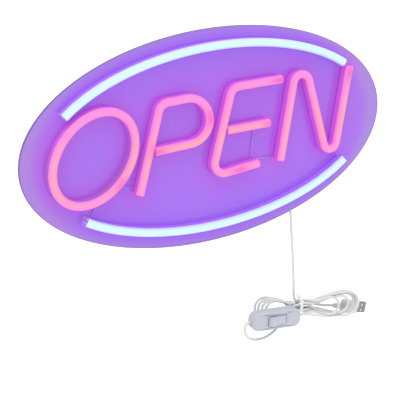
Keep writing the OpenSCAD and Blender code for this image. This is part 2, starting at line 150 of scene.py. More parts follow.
hank_v = np.array((math.sin(HANK_TILT), 0, math.cos(HANK_TILT)))
hank_w = np.cross(hank_u, hank_v)
print("hank axes", hank_u.round(3), hank_v.round(3), hank_w.round(3))

# %% [markdown]
# A turn of the hank is a figure eight, pinched at the tie. Each turn has its own lobe
# lengths and heights, its own depth, and its own place in the bundle under the tie.

# %% The turns of the hank
# Right lobe (length, half height), left lobe (length, half height), depth to the front
TURNS = [
    ((73, 12), (53, 10), -3.2),
    ((69, 11.4), (50.5, 9.6), 0),
    ((60, 10.2), (47.5, 9.4), 3.2),
    ((46, 9.8), (44.5, 9.2), 6.3),
]
LAST_LOBE = (72.5, 13.4, 3.4)
BUNDLE = [(0, 0), (-3, 0), (0, 3.1), (-2.8, 3), (2.9, 1.5), (0, -3.2), (2.9, -1.6), (-3, -3), (0.2, -4.6)]
WAIST = 12 * MM
PER_TURN = 48


def figure_eight(angle, length, rise, depth, place):
    """Points of a figure eight at the given angles, in metres.

    Along the hank u = length cos(angle). Across it v = -rise sin(2 angle) |cos(angle)|^0.4,
    which flattens where the strands cross. Near u = 0 each point moves to its place in
    the bundle, with the weight exp(-(u / waist)^2).
    """
    c = np.cos(angle)
    u = length * c * MM
    v = -rise * np.sin(2 * angle) * (np.abs(c) + 0.02) ** 0.4 / 0.86 * MM
    near = np.exp(-((u / WAIST) ** 2))
    v = v + place[:, 0] * near * MM
    w = depth * (1 - near) * MM + place[:, 1] * near * MM
    return TIE_AT + u[:, None] * hank_u + v[:, None] * hank_v + w[:, None] * hank_w


def turn(k):
    """Turn k of the hank: through the tie, round the right lobe, back and round the left one."""
    (right_l, right_h), (left_l, left_h), depth = TURNS[k]
    angle = np.radians(np.arange(0, 360, 360 / PER_TURN) - 90)
    on_right = np.cos(angle) > 0
    crossing = (2 * k + (angle > 0) + (angle > math.pi)) % len(BUNDLE)
    place = np.array(BUNDLE)[crossing]
    return figure_eight(
        angle, np.where(on_right, right_l, left_l), np.where(on_right, right_h, left_h), depth, place
    )


turns = np.vstack([turn(k) for k in range(len(TURNS))])
last_angle = np.radians(np.arange(0, 138, 7.5) - 90)
last_place = np.tile(BUNDLE[-1], (len(last_angle), 1))
last_lobe = figure_eight(last_angle, LAST_LOBE[0], LAST_LOBE[1], LAST_LOBE[2], last_place)
print(len(TURNS), "turns of", PER_TURN, "points, and", len(last_lobe), "points for the last lobe")

# %% One smooth line through all of it
LINE_STEP = 1.5 * MM


def smooth_line(points, step):
    """A Catmull-Rom curve through the points, then cut into even steps.

    Between b and c, with neighbours a and d, the point at t is half of
    2b + (c - a)t + (2a - 5b + 4c - d)t^2 + (3b - 3c + d - a)t^3.
    """
    ends = np.vstack([2 * points[0] - points[1], points, 2 * points[-1] - points[-2]])
    a, b, c, d = (ends[i:len(ends) - 3 + i, None, :] for i in range(4))
    t = np.linspace(0, 1, 12, endpoint=False)[None, :, None]
    curve = (2 * b + (c - a) * t + (2 * a - 5 * b + 4 * c - d) * t**2 + (3 * b - 3 * c + d - a) * t**3) / 2
    return even_steps(np.vstack([curve.reshape(-1, points.shape[1]), points[-1]]), step)


def even_steps(line, step):
    """The same line with its points one step apart along it."""
    along = np.r_[0, np.cumsum(np.linalg.norm(np.diff(line, axis=0), axis=1))]
    at = np.linspace(0, along[-1], int(round(along[-1] / step)) + 1)
    return np.stack([np.interp(at, along, line[:, k]) for k in range(line.shape[1])], axis=1)


def relaxed(line, rounds, apart, held):
    """The line after its strands have pushed each other apart.

    Each round, two points that are nearer than apart, and not neighbours along the line,
    move away from each other by a share of what is missing. The moves are averaged along
    the line, so that it bends and doesn't kink, and held points stay where they are.
    """
    line = line.copy()
    index = np.arange(len(line))
    strangers = np.abs(index[:, None] - index[None, :]) > 8
    spread = np.hanning(11)[:, None] / np.hanning(11).sum()
    for _ in range(rounds):
        gap = line[:, None, :] - line[None, :, :]
        distance = np.linalg.norm(gap, axis=2) + 1e-9
        missing = np.where(strangers, np.clip(apart - distance, 0, None), 0)
        push = (gap / distance[..., None] * missing[..., None]).sum(axis=1) * 0.25
        push = np.stack([np.convolve(push[:, k], spread[:, 0], "same") for k in range(3)], axis=1)
        straighter = np.zeros_like(line)
        straighter[1:-1] = (line[:-2] + line[2:]) / 2 - line[1:-1]
        line += np.where(held[:, None], 0, push + 0.1 * straighter)
    return line


metres = [np.array(route) * MM for route in (LEAD_ROUTE, SWITCH_ROUTE + IN_SWITCH, LOOP_ROUTE, PLUG_ROUTE)]
route = np.vstack([metres[0], turns[1:], last_lobe, metres[1], metres[2], metres[3]])
lead_line = smooth_line(route, LINE_STEP)
in_hank = np.linalg.norm(lead_line - TIE_AT, axis=1) < 82 * MM
in_switch = (lead_line[:, 1] < -19.5 * MM) & (lead_line[:, 0] < 84 * MM)
near_clip = lead_line[:, 2] > -190 * MM
near_plug = np.arange(len(lead_line)) > len(lead_line) - 24
held = ~in_hank | in_switch | near_clip | near_plug
lead_line = relaxed(lead_line, 60, 1.04 * CORD_D, held)


def length_of(line):
    return np.linalg.norm(np.diff(line, axis=0), axis=1).sum()


def tightest_bend(line, over=4):
    """The smallest radius of the circles through points of the line that are over steps apart."""
    a, b, c = line[:-2 * over], line[over:-over], line[2 * over:]
    ab, bc, ca = (np.linalg.norm(q - p, axis=1) for p, q in ((a, b), (b, c), (c, a)))
    area = np.linalg.norm(np.cross(b - a, c - a), axis=1) / 2
    return (ab * bc * ca / (4 * area + 1e-15)).min()


CORD_LENGTH = length_of(lead_line)
print("lead", round(CORD_LENGTH, 3), "m, tightest bend", round(tightest_bend(lead_line) / MM, 1), "mm")

# %% [markdown]
# A curve object with a round bevel turns the line into a tube and keeps its rings from
# twisting, so the lead is a curve and not a mesh of our own.

# %% A round wire of any line
def wire(name, line, diameter, sides=3):
    """A curve object along the line, a tube of that diameter; sides is its bevel resolution.

    The bevel is 1 m deep and each point's radius scales it, so Blender's box of the curve is right too.
    """
    curve = bpy.data.curves.new(name, "CURVE")
    curve.dimensions = "3D"
    curve.bevel_depth = 1
    curve.bevel_resolution = sides
    curve.use_fill_caps = True
    spline = curve.splines.new("POLY")
    spline.points.add(len(line) - 1)
    spline.points.foreach_set("co", np.c_[line, np.ones(len(line))].ravel())
    spline.points.foreach_set("radius", np.full(len(line), diameter / 2))
    spline.use_smooth = True
    piece = bpy.data.objects.new(name, curve)
    bpy.context.scene.collection.objects.link(piece)
    return piece


lead = wire("usb_lead", lead_line, CORD_D)
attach(lead, "sign")
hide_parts("lead_cord", "cord_hank", "switch_cord", "loop_cord", "plug_cord")
print("lead has", len(lead_line), "points")

# %% [markdown]
# ## Surfaces
#
# Every other new piece is a grid of points: rows across and columns round. The points of
# a whole grid are worked out at once, and the faces join each point to its neighbours.
# A row that has shrunk to one point closes the surface like the pole of a globe.

# %% From a grid of points to a mesh
SHARP = math.radians(38)


def grid_faces(rows, columns, rows_join, columns_join):
    """Four-sided faces between neighbours of a grid; a joined side also links last to first."""
    r = np.arange(rows if rows_join else rows - 1)
    c = np.arange(columns if columns_join else columns - 1)
    r, c = (g.ravel() for g in np.meshgrid(r, c, indexing="ij"))
    here, below, across = r * columns, (r + 1) % rows * columns, (c + 1) % columns
    return np.stack([here + c, here + across, below + across, below + c], axis=1)


def finished_mesh(name, points, faces):
    """A closed mesh with doubles merged, faces outwards and smooth shading up to sharp edges."""
    mesh = bpy.data.meshes.new(name)
    mesh.from_pydata(points.tolist(), [], faces)
    bm = bmesh.new()
    bm.from_mesh(mesh)
    bmesh.ops.remove_doubles(bm, verts=bm.verts, dist=1e-6)
    bmesh.ops.recalc_face_normals(bm, faces=bm.faces)
    bm.to_mesh(mesh)
    bm.free()
    mesh.shade_smooth()
    mesh.set_sharp_from_angle(angle=SHARP)
    return mesh


def piece(name, points, faces, body, slot, *replaced):
    """A new object of the sign, which rides on a body and stands for CAD nodes; slot is not used."""
    made = bpy.data.objects.new(name, finished_mesh(name, points, faces))
    bpy.context.scene.collection.objects.link(made)
    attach(made, body)
    if replaced:
        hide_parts(*replaced)
    return made


def joined(parts):
    """Several (points, faces) as one."""
    counts = np.cumsum([0] + [len(points) for points, _ in parts])
    points = np.vstack([points for points, _ in parts])
    faces = [[i + first for i in face] for (_, own), first in zip(parts, counts) for face in own]
    return points, faces


def mark(made, name, values):
    """Stores one number for each vertex, for the finish to read."""
    attribute = made.data.attributes.new(name, "FLOAT", "POINT")
    attribute.data.foreach_set("value", values.astype(np.float32))


def corners_of(made):
    """The vertices of a piece, as an array."""
    co = np.zeros(len(made.data.vertices) * 3, np.float32)
    made.data.vertices.foreach_get("co", co)
    return co.reshape(-1, 3).astype(float)


# %% [markdown]
# ## Lines of the tubes
#
# All seven tubes lie on the plate, so their centre lines are flat: points (x, z).
# The arcs follow ellipses inside the plate's edge, the O is a turned ellipse, and the
# other letters are straight strokes with round corners.

# %% Lines on the plate
PLATE_T = 4 * MM
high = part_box("back_plate")[1]
HALF_W, HALF_H = high.x, high.z


def ellipse_arc(half_w, half_h, first, last, steps):
    """Points (half_w cos t, half_h sin t), with t from first to last in degrees."""
    t = np.radians(np.linspace(first, last, steps + 1))
    return np.stack([half_w * np.cos(t), half_h * np.sin(t)], axis=1)


def unit(v):
    return v / np.linalg.norm(v)


def round_corner(a, b, c, r):
    """The arc of radius r that touches the lines b-a and b-c."""
    to_a, to_c = unit(a - b), unit(c - b)
    half = math.acos(np.clip(to_a @ to_c, -1, 1)) / 2
    centre = b + unit(to_a + to_c) * r / math.sin(half)
    start = b + to_a * r / math.tan(half) - centre
    hand = -1 if to_a[0] * to_c[1] - to_a[1] * to_c[0] > 0 else 1
    t = math.atan2(start[1], start[0]) + hand * np.linspace(0, math.pi - 2 * half, 17)
    return centre + r * np.stack([np.cos(t), np.sin(t)], axis=1)


def stroke(*corners):
    """A line through corners (x, z, radius) in millimetres, cut into even steps."""
    points = np.array(corners, float) * MM
    line = [points[:1, :2]]
    for a, b, c in zip(points, points[1:], points[2:]):
        line.append(round_corner(a[:2], b[:2], c[:2], b[2]))
    return even_steps(np.vstack(line + [points[-1:, :2]]), 1.5 * MM)


def leaning(x0, slant, z):
    """Where a stem that crosses z = 0 at x0 and leans by slant degrees is at height z."""
    return x0 + z * math.tan(math.radians(slant))


TOP_INSET = 16.5 * MM
BOTTOM_INSET = 19.7 * MM
O_CENTRE = np.array((-129.2, 6.3)) * MM
O_TURN = math.radians(46)
P_BOWL = 22.5
turn_o = np.array([[math.cos(O_TURN), math.sin(O_TURN)], [-math.sin(O_TURN), math.cos(O_TURN)]])
LINES = {
    "top_arc": ellipse_arc(HALF_W - TOP_INSET, HALF_H - TOP_INSET, 33.6, 146.4, 220),
    "bottom_arc": ellipse_arc(HALF_W - BOTTOM_INSET, HALF_H - BOTTOM_INSET, -143.6, -36.4, 210),
    "letter_o": O_CENTRE + ellipse_arc(48.5 * MM, 35.8 * MM, -78, 281.8, 180) @ turn_o,
    "letter_p": stroke(
        (leaning(-74.2, 20.5, -38.2), -38.2, 0), (leaning(-74.2, 20.5, 46), 46, 11),
        (-7, 46, P_BOWL), (-7, 0.4, P_BOWL), (-67.5, 0.4, 0),
    ),
    "letter_e": stroke(
        (76.6, 46.5, 0), (leaning(2.8, 20.5, 48), 48, 11),
        (leaning(2.8, 20.5, -38.2), -38.2, 11), (42, -35.2, 0),
    ),
    "letter_e_bar": stroke((11.3, 5.8, 0), (58.4, 4.4, 0)),
    "letter_n": stroke(
        (leaning(79.3, 16, -37.2), -37.2, 0), (102.4, 80.3, 9.5),
        (127.7, -64.9, 7.7), (leaning(146.4, 16, 45), 45, 0),
    ),
}
print({name: round(length_of(line) / MM) for name, line in LINES.items()}, "mm")

# %% [markdown]
# ## The plate
#
# The plate is laser-cut acrylic, 4 mm thick, with a polished edge that is slightly rounded.
# A cylinder scaled to an oval would do, but its edge would be sharp and its face would have
# no points to carry the glow of the tubes. So it is a stack of oval rings: the front from
# the middle outwards, over the edge, and in again across the back.

# %% Oval plate with a polished edge
EDGE_R = 0.6 * MM


def oval(scale, inset, steps=256):
    """Points (a cos t, b sin t) times scale, moved inwards by inset along the oval's normal."""
    t = np.linspace(0, 2 * math.pi, steps, endpoint=False)
    on = np.stack([HALF_W * np.cos(t), HALF_H * np.sin(t)], axis=1)
    normal = np.stack([np.cos(t) / HALF_W, np.sin(t) / HALF_H], axis=1)
    normal /= np.linalg.norm(normal, axis=1)[:, None]
    return on * scale - inset * normal


def plate_rings():
    """Rings (x, y, z): the face, a quarter-round, the edge, a quarter-round, the other face."""
    face = [(s, 0) for s in np.linspace(0, 0.985, 56)] + [(1, 1.9 * MM), (1, EDGE_R)]
    bend = np.radians(np.linspace(15, 90, 6))
    front = [(s, i, -PLATE_T) for s, i in face]
    front += [(1, EDGE_R * (1 - math.sin(t)), -PLATE_T + EDGE_R * (1 - math.cos(t))) for t in bend]
    rings = front + [(s, i, -PLATE_T - y) for s, i, y in reversed(front)]
    flat = [(oval(s, i), y) for s, i, y in rings]
    return np.stack([np.stack([p[:, 0], np.full(len(p), y), p[:, 1]], axis=1) for p, y in flat])


rings = plate_rings()
plate = piece(
    "plate", rings.reshape(-1, 3), grid_faces(rings.shape[0], rings.shape[1], False, True).tolist(),
    "sign", "acrylic_violet", "back_plate",
)
print("plate", len(plate.data.polygons), "faces")

# %% [markdown]
# Three small holes let the lead's cores and the hidden jumper through. A boolean cut makes
# each of them from a plain cutter, which is removed once its cut is in the mesh.

# %% Holes in the plate
LEAD_AT = np.array((85, -78.2)) * MM
REAR_HOLES = np.array([(-18.6, 3.8), (8.8, 16)]) * MM


def cut(made, cutters):
    """Takes the cutters' shape out of a piece and removes the cutters."""
    for cutter in cutters:
        difference = made.modifiers.new("cut", "BOOLEAN")
        difference.operation = "DIFFERENCE"
        difference.object = cutter
    bpy.context.view_layer.update()
    result = bpy.data.meshes.new_from_object(made.evaluated_get(bpy.context.evaluated_depsgraph_get()))
    made.modifiers.clear()
    made.data = result
    for cutter in cutters:
        bpy.data.objects.remove(cutter)
    result.set_sharp_from_angle(angle=SHARP)


def rod(start, end, radius, steps=32):
    """A plain cylinder between two points, as (points, faces)."""
    way = unit(np.array(end) - start)
    side = unit(np.cross(way, (0.3, 0.5, 0.8)))
    over = np.cross(way, side)
    t = np.linspace(0, 2 * math.pi, steps, endpoint=False)[:, None]
    ring = radius * (np.cos(t) * side + np.sin(t) * over)
    faces = grid_faces(2, steps, False, True).tolist() + [list(range(steps)), list(range(steps, 2 * steps))]
    return np.vstack([start + ring, end + ring]), faces


def cutter(points, faces):
    made = bpy.data.objects.new("cutter", finished_mesh("cutter", points, faces))
    bpy.context.scene.collection.objects.link(made)
    return made


def through_plate(at, radius):
    return cutter(*rod(np.array((at[0], -6 * MM, at[1])), (at[0], 2 * MM, at[1]), radius))


cut(plate, [through_plate(LEAD_AT, 1.6 * MM)] + [through_plate(at, 1.2 * MM) for at in REAR_HOLES])
print("plate with holes", len(plate.data.polygons), "faces")

# %% [markdown]
# The light of the tubes spreads through the acrylic, pink round the letters and cold near
# the arcs. Lamps alone would need many samples to show it softly, so each point of the
# plate stores how near the tubes are, and the finish turns that into colour.

# %% Glow on the plate
def nearness(points, lines, reach):
    """exp(-distance / reach) to the nearest point of the lines, for points (x, z)."""
    line = np.vstack(lines)[::2]
    least = np.full(len(points), np.inf)
    for some in np.array_split(line, 8):
        gap = points[:, None, :] - some[None, :, :]
        least = np.minimum(least, np.sqrt((gap**2).sum(axis=2)).min(axis=1))
    return np.exp(-least / reach)


def mark_glow(made):
    flat = corners_of(made)[:, [0, 2]]
    letters = [line for name, line in LINES.items() if "letter" in name]
    arcs = [line for name, line in LINES.items() if "arc" in name]
    mark(made, "pink_glow", nearness(flat, letters, 14 * MM))
    mark(made, "cold_glow", nearness(flat, arcs, 9 * MM))
    off_centre = np.hypot(flat[:, 0] / HALF_W, flat[:, 1] / HALF_H)
    mark(made, "rim", np.clip((off_centre - 0.9) / 0.1, 0, 1))
    mark(made, "ends", np.clip(np.abs(flat[:, 0]) / HALF_W - 0.55, 0, 1) ** 1.5 * 2)


mark_glow(plate)
print("glow marked on", len(plate.data.vertices), "points")

# %% [markdown]
# ## The tubes
#
# Neon flex is extruded silicone: flat sides, a crowned front, and a slot at the back for the
# LED strip. Carrying that one profile along each line gives every tube at once. A curve with
# a bevel object would do the same, but it would lose the distance round the profile, which
# the finish needs: light leaves through the crown, and the sides only pass what is left.

# %% Profile carried along a line
TUBE_HALF = 4.2 * MM
TUBE_H = 13.3 * MM
SLOT_HALF = 2.8 * MM
SLOT_H = 3 * MM
SHOULDER = 9.4 * MM


def crown(steps=14):
    """Half an ellipse over the shoulders: across = w cos t, height = shoulder + rise sin(t)^0.8."""
    t = np.linspace(0, math.pi, steps + 1)
    return np.stack([TUBE_HALF * np.cos(t), SHOULDER + (TUBE_H - SHOULDER) * np.sin(t) ** 0.8], axis=1)


def outer_profile():
    """The outside, from the foot of one side over the crown to the foot of the other."""
    sides = np.array([(TUBE_HALF, h * MM) for h in (0, 0.3, 3, 6, 8)])
    return np.vstack([sides, crown(), sides[::-1] * (-1, 1)])


def with_slot(profile):
    slot = np.array([(-SLOT_HALF, 0), (-SLOT_HALF, SLOT_H), (SLOT_HALF, SLOT_H), (SLOT_HALF, 0)])
    return np.vstack([profile, slot])


def normals_of(line):
    """Sideways directions at each point of a flat line: its heading turned a quarter left."""
    ahead = np.gradient(line, axis=0)
    ahead /= np.linalg.norm(ahead, axis=1)[:, None]
    return np.stack([-ahead[:, 1], ahead[:, 0]], axis=1)


def on_plate(flat, height):
    """Points in space for flat points (x, z) that stand height in front of the plate."""
    return np.stack([flat[..., 0], -PLATE_T - height, flat[..., 1]], axis=-1)


def extruded(line, profile):
    """Rows along the line, columns round the profile, and both ends closed."""
    flat = line[:, None, :] + profile[None, :, 0, None] * normals_of(line)[:, None, :]
    points = on_plate(flat, np.broadcast_to(profile[None, :, 1], flat.shape[:2]))
    rows, columns = points.shape[:2]
    faces = grid_faces(rows, columns, False, True).tolist()
    faces += [list(range(columns)), list(range((rows - 1) * columns, rows * columns))]
    return points.reshape(-1, 3), faces


HOT_SPOTS = np.array([(-105, -26), (-66, 0.4), (-8, 22), (20, -36.5), (74, 46), (157, 40), (60, 4.4)]) * MM


def mark_tube(made, line):
    """Stores, for each point, its height, how near the crown's middle it is, and its way along."""
    co = corners_of(made)
    height = (-PLATE_T - co[:, 1]) / TUBE_H
    gap = np.linalg.norm(co[:, None, [0, 2]] - line[None, :, :], axis=2)
    nearest = gap.argmin(axis=1)
    steps = np.r_[0, np.cumsum(np.linalg.norm(np.diff(line, axis=0), axis=1))]
    mark(made, "height", height)
    mark(made, "middle", 1 - np.clip(gap.min(axis=1) / TUBE_HALF, 0, 1))
    mark(made, "along", steps[nearest])
    mark(made, "warm", np.exp(-(((co[:, 2] + 4 * MM) / (34 * MM)) ** 2)))
    low_down = np.clip((38 * MM - co[:, 2]) / (30 * MM), 0, 1)
    mark(made, "dull", low_down * made.name.startswith("letter_o"))
    hot_gap = np.linalg.norm(co[:, None, [0, 2]] - HOT_SPOTS[None, :, :], axis=2).min(axis=1)
    mark(made, "hot", np.exp(-((hot_gap / (9 * MM)) ** 2)))


tubes = {}
for name, line in LINES.items():
    slot = "silicone_white" if "arc" in name else "silicone_pink"
    tubes[name] = piece(name, *extruded(line, with_slot(outer_profile())), "sign", slot, name + "_tube")
    mark_tube(tubes[name], line)
print({name: len(tube.data.polygons) for name, tube in tubes.items()})

# %% [markdown]
# The free ends are closed with clear moulded caps, the same outline as the tube and slightly
# rounded outside. One cap is a few copies of the outline, each a little smaller and further out.

# %% End caps
CAP_ENDS = {"top_arc": (0, -1), "bottom_arc": (0, -1), "letter_p": (0,), "letter_e": (0, -1),
            "letter_e_bar": (-1,), "letter_n": (0, -1)}


def cap(line, end):
    """Rings (shrink, out): the outline pulled towards its middle by shrink, moved out by out."""
    heading = unit(line[0] - line[1] if end == 0 else line[-1] - line[-2])
    aside = np.array((-heading[1], heading[0]))
    outline = outer_profile()
    middle = np.array((0, 0.45 * TUBE_H))
    rings = []
    for shrink, out in ((0, 0), (0, 0.75), (0.03, 0.98), (0.09, 1.12), (0.2, 1.19), (0.5, 1.2), (1, 1.2)):
        ring = outline + (middle - outline) * shrink
        rings.append(on_plate(line[end] + ring[:, :1] * aside + out * MM * heading, ring[:, 1]))
    points = np.stack(rings)
    rows, columns = points.shape[:2]
    faces = grid_faces(rows, columns, False, True).tolist() + [list(range(columns))]
    return points.reshape(-1, 3), faces


arc_caps = piece(
    "arc_caps", *joined([cap(LINES[n], e) for n, ends in CAP_ENDS.items() if "arc" in n for e in ends]),
    "sign", "cap_clear", "arc_end_caps",
)
letter_caps = piece(
    "letter_caps", *joined([cap(LINES[n], e) for n, ends in CAP_ENDS.items() if "letter" in n for e in ends]),
    "sign", "cap_pink", "letter_end_caps",
)
print("caps", len(arc_caps.data.polygons), len(letter_caps.data.polygons))

# %% [markdown]
# ## Jumpers
#
# Clear jumper wires carry the current from one tube to the next, in one chain from the arc
# to the O, the P, the E and the N. They lie on the plate, and one passes behind it.

# %% Jumper wires
WIRE_D = 1.6 * MM
WIRE_UP = 1 * MM
JUMPERS = {
    "jumper_arc_o": [(-130, -38.2), (-131.4, -42), (-134.6, -47.6), (-138.6, -52.4)],
    "jumper_o_p": [(-104.5, -24.8), (-101, -28.6), (-96, -31.8), (-90.2, -33.4)],
    "jumper_e_bar": [(45, 1.6), (44.6, -3), (42.8, -10), (40.4, -21), (38, -32.2)],
    "jumper_e_n": [(42.6, -32.6), (50, -33.2), (58, -34.2), (65.6, -35.2)],
    "jumper_n_arc": [(155.8, 45), (154.2, 46.8), (152.4, 48.2)],
}
for name, flat in JUMPERS.items():
    line = on_plate(np.array(flat) * MM, np.full(len(flat), WIRE_UP))
    made = wire(name + "_wire", smooth_line(line, 1 * MM), WIRE_D)
    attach(made, "sign")
    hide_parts(name)


def hooked(a, b):
    """Out through hole a, along the back, and in again through hole b."""
    front, rear, round_it = -PLATE_T - 0.4 * MM, 1 * MM, 0.8 * MM
    way = unit(b - a)
    flat = [(a, front), (a, rear - round_it), (a + way * round_it, rear), (b - way * round_it, rear),
            (b, rear - round_it), (b, front)]
    return np.array([(p[0], y, p[1]) for p, y in flat])


rear_jumper = wire("jumper_p_e_wire", smooth_line(hooked(*REAR_HOLES), 0.5 * MM), WIRE_D)
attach(rear_jumper, "sign")
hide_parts("jumper_p_e")
print(len(JUMPERS) + 1, "jumpers")

# %% [markdown]
# ## The inline switch
#
# The case is two moulded shells that meet at a fine parting line. Each shell is made of
# rounded rectangles, one above the other: up the outside, over the rounded edge, and back
# down the inside. The cover's rings go in through the window and close on themselves.

# %% Placing pieces on the switch and the plug
SWITCH_AT = Vector((41.2, -16, -204.4)) * MM
SWITCH_TILT = math.radians(8.9)
PLUG_AT = Vector((130, 1.5, -225)) * MM
PLUG_TILT = math.radians(18.5)
LYING = Matrix.Rotation(math.radians(90), 4, "X")
SWITCH_PLACE = Matrix.Translation(SWITCH_AT) @ Matrix.Rotation(SWITCH_TILT, 4, "Y") @ LYING
PLUG_PLACE = Matrix.Translation(PLUG_AT) @ Matrix.Rotation(PLUG_TILT, 4, "Y") @ LYING


def placed(points, place):
    """Local points, in millimetres, moved to their place in the frame."""
    turn_by = np.array(place.to_3x3())
    return np.asarray(points, float) * MM @ turn_by.T + np.array(place.translation)


def rounded_rect(length, width, radius, steps=8):
    """Points round a rectangle with round corners: each corner's centre plus radius (cos t, sin t)."""
    t = np.radians(np.linspace(0, 90, steps + 1))
    rings = []
    for k, (sx, sy) in enumerate(((1, 1), (-1, 1), (-1, -1), (1, -1))):
        centre = np.array((sx * (length / 2 - radius), sy * (width / 2 - radius)))
        angle = t + math.radians(90 * k)
        rings.append(centre + radius * np.stack([np.cos(angle), np.sin(angle)], axis=1))
    return np.vstack(rings)


def stack(rings, closed):
    """A surface through (outline, z) rings; closed joins the last ring to the first."""
    points = np.stack([np.c_[outline, np.full(len(outline), z)] for outline, z in rings])
    rows, columns = points.shape[:2]
    return points.reshape(-1, 3), grid_faces(rows, columns, closed, True).tolist()


CASE_L, CASE_W, CASE_T, CASE_R = 58, 20, 14, 8
WALL = 1.6
SPLIT = 7.5
EDGE = 2.6
WINDOW = (21.8, 10.6)


def case_ring(inset, z):
    return rounded_rect(CASE_L - 2 * inset, CASE_W - 2 * inset, CASE_R - inset), z


def window_ring(grow, z):
    return rounded_rect(WINDOW[0] + 2 * grow, WINDOW[1] + 2 * grow, 0.8 + grow), z


def fold(steps=7):
    """Angles of a quarter-round, without its two ends."""
    return np.radians(np.linspace(0, 90, steps + 2)[1:-1])


def cover_shell():
    outside = [case_ring(0.3, SPLIT), case_ring(0.3, SPLIT + 0.25), case_ring(0, SPLIT + 0.4)]
    outside += [case_ring(0, CASE_T - EDGE)]
    outside += [case_ring(EDGE * (1 - math.cos(t)), CASE_T - EDGE * (1 - math.sin(t))) for t in fold()]
    outside += [case_ring(EDGE, CASE_T), window_ring(2.9, CASE_T), window_ring(2.5, CASE_T - 0.1)]
    recess = [window_ring(2.1, CASE_T - 0.5), window_ring(1.8, CASE_T - 0.6), window_ring(0.3, CASE_T - 0.6)]
    recess += [window_ring(0, CASE_T - 0.9), window_ring(0, CASE_T - WALL)]
    inside = [case_ring(WALL, CASE_T - WALL), case_ring(WALL, SPLIT)]
    return stack(outside + recess + inside, True)


def base_shell():
    tiny = case_ring(CASE_W / 2 - 0.01, 0)[0] * (0.001, 0.001)
    outside = [(tiny, 0), case_ring(EDGE, 0)]
    outside += [case_ring(EDGE * (1 - math.sin(t)), EDGE * (1 - math.cos(t))) for t in fold()]
    outside += [case_ring(0, EDGE), case_ring(0, SPLIT - 0.45), case_ring(0.3, SPLIT - 0.3)]
    outside += [case_ring(0.3, SPLIT - 0.05)]
    inside = [case_ring(WALL, SPLIT - 0.05), case_ring(WALL, WALL), (tiny, WALL)]
    return stack(outside + inside, False)


def on_switch(points, faces):
    return placed(points, SWITCH_PLACE), faces


cover = piece("switch_top", *on_switch(*cover_shell()), "sign", "case_white", "switch_cover")
base = piece("switch_bottom", *on_switch(*base_shell()), "sign", "case_white", "switch_base")
SCREWS = ((-20.5, 5.2), (20.5, 5.2))
RECESS_R, RECESS_DEEP = 2.0, 2.0
CORD_HOLE_R = 1.55
recesses = [
    cutter(*on_switch(*rod(np.array((x, y, -1.0)), (x, y, RECESS_DEEP), RECESS_R))) for x, y in SCREWS
]
cut(base, recesses)
for shell in (cover, base):
    cut(shell, [cutter(*on_switch(*rod(np.array((-40.0, 0, SPLIT)), (40.0, 0, SPLIT), CORD_HOLE_R)))])
print("case", len(cover.data.polygons), len(base.data.polygons), "faces")

# %% [markdown]
# The rocker is one moulding with a shallow V on top and a round back. Its outline is
# extruded across the case, with the corners rounded by a bevel, and it is tipped to the
# "on" position. It rides on its own body, so it rocks when the switch is worked.

# %% Rocker
PIVOT_Z = 10.2
TIPPED = math.radians(12)
ROCKER_R = 10.6
ROCKER_W = 10
SKIRT_Z, VALLEY_Z, TIP_Z = -0.6, 4.4, 6.2
TRUNNION_HALF, TRUNNION_R = 6.6, 1.2
WELL_R = 2.4


def rocker_outline():
    """Arcs of the swing radius for flanks, and a shallow V on top: z = valley + rise |x / end|^1.25."""
    t = np.linspace(math.asin(SKIRT_Z / ROCKER_R), math.asin(TIP_Z / ROCKER_R), 9)
    flank = np.stack([ROCKER_R * np.cos(t), ROCKER_R * np.sin(t)], axis=1)
    end = flank[-1, 0]
    x = np.linspace(end, -end, 15)[1:-1]
    top = np.stack([x, VALLEY_Z + (TIP_Z - VALLEY_Z) * (np.abs(x) / end) ** 1.25], axis=1)
    return np.vstack([flank, top, flank[::-1] * (-1, 1)])


def tipped(points):
    """Turned about the trunnions, which lie across the case at height PIVOT_Z."""
    x, y, z = np.asarray(points, float).T
    c, s = math.cos(TIPPED), math.sin(TIPPED)
    return np.stack([x * c + z * s, y, z * c - x * s + PIVOT_Z], axis=1)


def rocker_body():
    outline = rocker_outline()
    middle = outline.mean(axis=0)
    sections = []
    for across, shrink in ((-1, 0.06), (-0.985, 0.02), (-0.94, 0), (0.94, 0), (0.985, 0.02), (1, 0.06)):
        ring = outline + (middle - outline) * shrink
        sections.append(np.stack([ring[:, 0], np.full(len(ring), across * ROCKER_W / 2), ring[:, 1]], axis=1))
    points = np.stack(sections)
    rows, columns = points.shape[:2]
    faces = grid_faces(rows, columns, False, True).tolist()
    faces += [list(range(columns)), list(range((rows - 1) * columns, rows * columns))]
    return points.reshape(-1, 3), faces


trunnion = rod(np.array((0, -TRUNNION_HALF, 0)), (0, TRUNNION_HALF, 0), TRUNNION_R)
well = rod(np.array((0, 0, -2.8)), (0, 0, 0.4), WELL_R)
rocker_points, rocker_faces = joined([rocker_body(), trunnion, well])
rocker = piece(
    "rocker", placed(tipped(rocker_points), SWITCH_PLACE), rocker_faces,
    "rocker", "rocker_white", "switch_rocker",
)
print("rocker", len(rocker.data.polygons), "faces")

# %% [markdown]
# ## The plug
#
# The USB plug is overmoulded in the same soft plastic as the lead. Its ribbed strain relief
# lets the cable bend gently. Cross-sections go from a circle to a rounded oblong along the
# axis, so one formula, a superellipse, covers the whole moulding.

# %% Overmoulded grip
RELIEF_L = 11
GRIP_L, GRIP_W, GRIP_T = 20, 15.8, 8.2


def superellipse(half_w, half_t, power, steps=64):
    """|y / half_w|^power + |z / half_t|^power = 1, by the angle t."""
    t = np.linspace(0, 2 * math.pi, steps, endpoint=False)
    c, s = np.cos(t), np.sin(t)
    return half_w * np.sign(c) * np.abs(c) ** (2 / power), half_t * np.sign(s) * np.abs(s) ** (2 / power)


def section(x, half_w, half_t, power):
    y, z = superellipse(half_w, half_t, power)
    return np.stack([np.full(len(y), x), y, z], axis=1)


